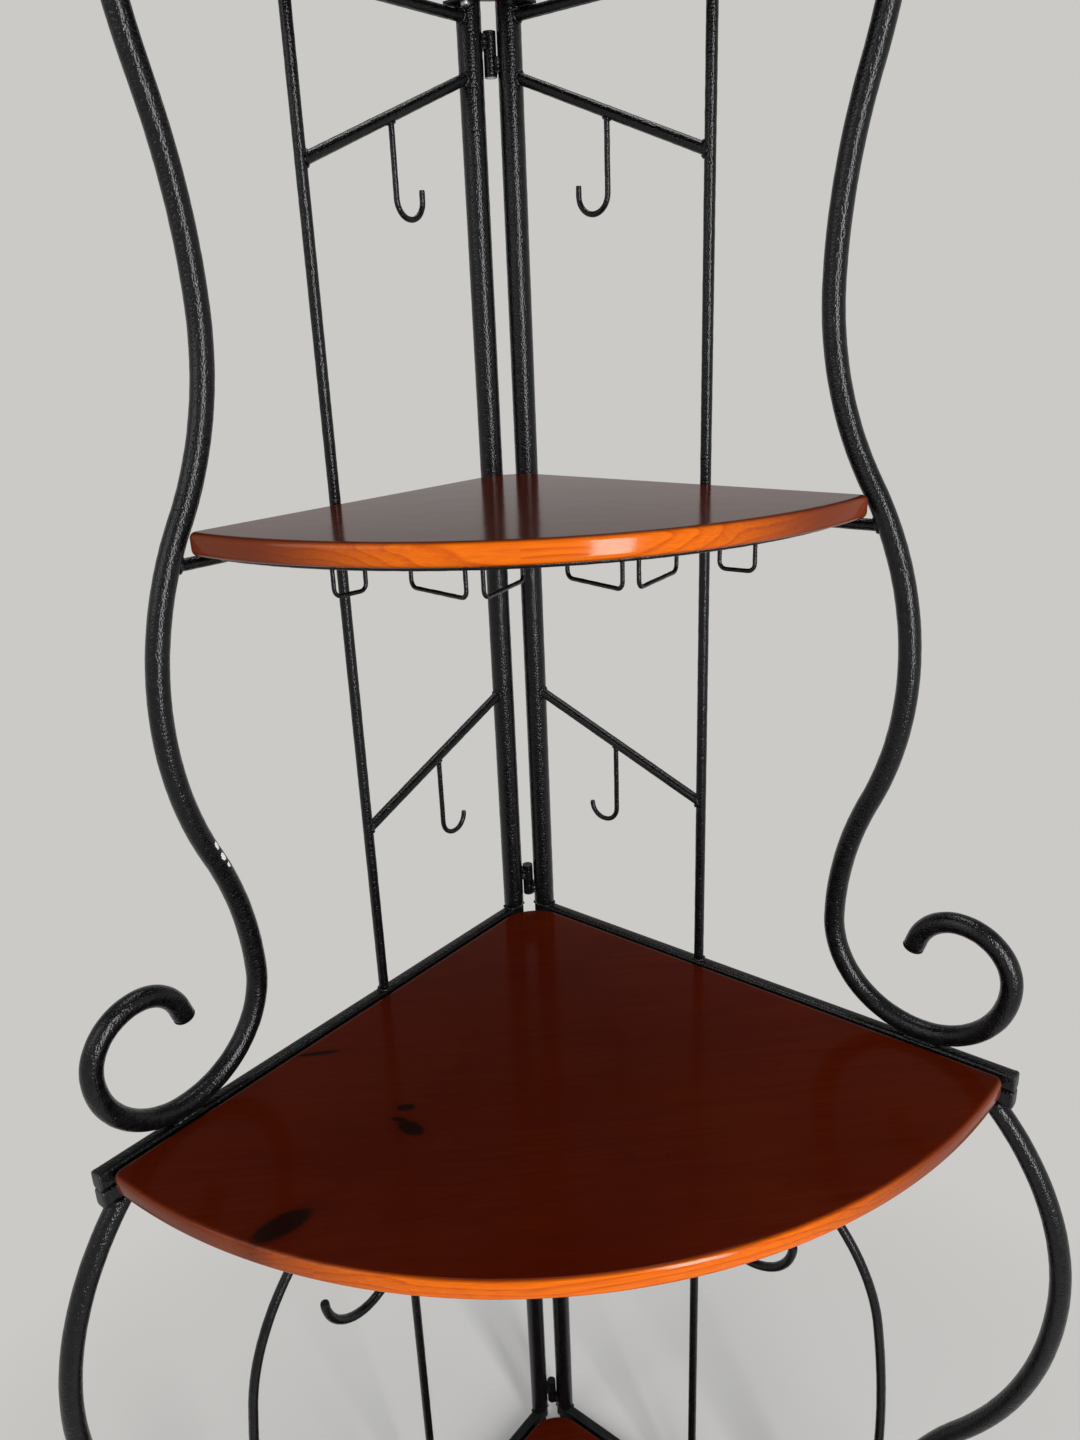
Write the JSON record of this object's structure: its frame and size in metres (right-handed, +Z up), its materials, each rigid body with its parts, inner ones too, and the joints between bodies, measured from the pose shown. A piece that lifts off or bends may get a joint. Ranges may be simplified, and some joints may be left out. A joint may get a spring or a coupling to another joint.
{
  "type": "corner bakers rack",
  "caption": "Corner bakers rack of black scrolled steel tube: hinged side frames carry quarter-round stained pine shelves, with hooks and a rack for stemmed glasses.",
  "frame": {"origin": "centre of the footprint's box, on the floor", "axes": "+Z up; the left frame runs along -Y from the back corner and the right frame along +X; the corner is at -X +Y and the front faces +X -Y"},
  "size_m": [0.5945, 0.5945, 1.7148],
  "materials": {
    "black_paint": "hammered semi-gloss black paint",
    "stained_pine": "reddish-brown stain under gloss varnish",
    "black_plastic": "moulded black plastic",
    "zinc_steel": "zinc-plated steel"
  },
  "bodies": {
    "left_frame": {"board_screws": "zinc_steel", "bottom_board": "stained_pine", "left_end_plugs": "black_plastic", "left_foot_rail": "black_paint", "left_front_tube": "black_paint", "left_glides": "black_plastic", "left_high_hook": "black_paint", "left_high_hook_bar": "black_paint", "left_hinge_cap_1": "black_paint", "left_hinge_cap_2": "black_paint", "left_hinge_cap_3": "black_paint", "left_hinge_cap_4": "black_paint", "left_leg": "black_paint", "left_low_hook": "black_paint", "left_low_hook_bar": "black_paint", "left_lower_post": "black_paint", "left_lower_rail": "black_paint", "left_lower_upright": "black_paint", "left_middle_support": "black_paint", "left_scroll_rod": "black_paint", "left_section_bolts": "zinc_steel", "left_shelf_tabs": "black_paint", "left_top_support": "black_paint", "left_upper_post": "black_paint", "left_upper_rail": "black_paint", "left_upper_upright": "black_paint", "main_board": "stained_pine", "middle_board": "stained_pine", "stem_bar": "black_paint", "stem_wires_1": "black_paint", "stem_wires_2": "black_paint", "stem_wires_3": "black_paint", "top_board": "stained_pine"},
    "right_frame": {"hinge_pins": "zinc_steel", "right_end_plugs": "black_plastic", "right_foot_rail": "black_paint", "right_front_tube": "black_paint", "right_glides": "black_plastic", "right_high_hook": "black_paint", "right_high_hook_bar": "black_paint", "right_hinge_socket_1": "black_paint", "right_hinge_socket_2": "black_paint", "right_hinge_socket_3": "black_paint", "right_hinge_socket_4": "black_paint", "right_leg": "black_paint", "right_low_hook": "black_paint", "right_low_hook_bar": "black_paint", "right_lower_post": "black_paint", "right_lower_rail": "black_paint", "right_lower_upright": "black_paint", "right_middle_support": "black_paint", "right_scroll_rod": "black_paint", "right_section_bolts": "zinc_steel", "right_shelf_tabs": "black_paint", "right_top_support": "black_paint", "right_upper_post": "black_paint", "right_upper_rail": "black_paint", "right_upper_upright": "black_paint"}
  },
  "joints": [
    {"name": "frame_fold", "type": "hinge", "parent": "left_frame", "child": "right_frame", "pos_m": [-0.27525, 0.27525, 0], "axis": [0, 0, 1], "range_deg": [0, 90]}
  ]
}
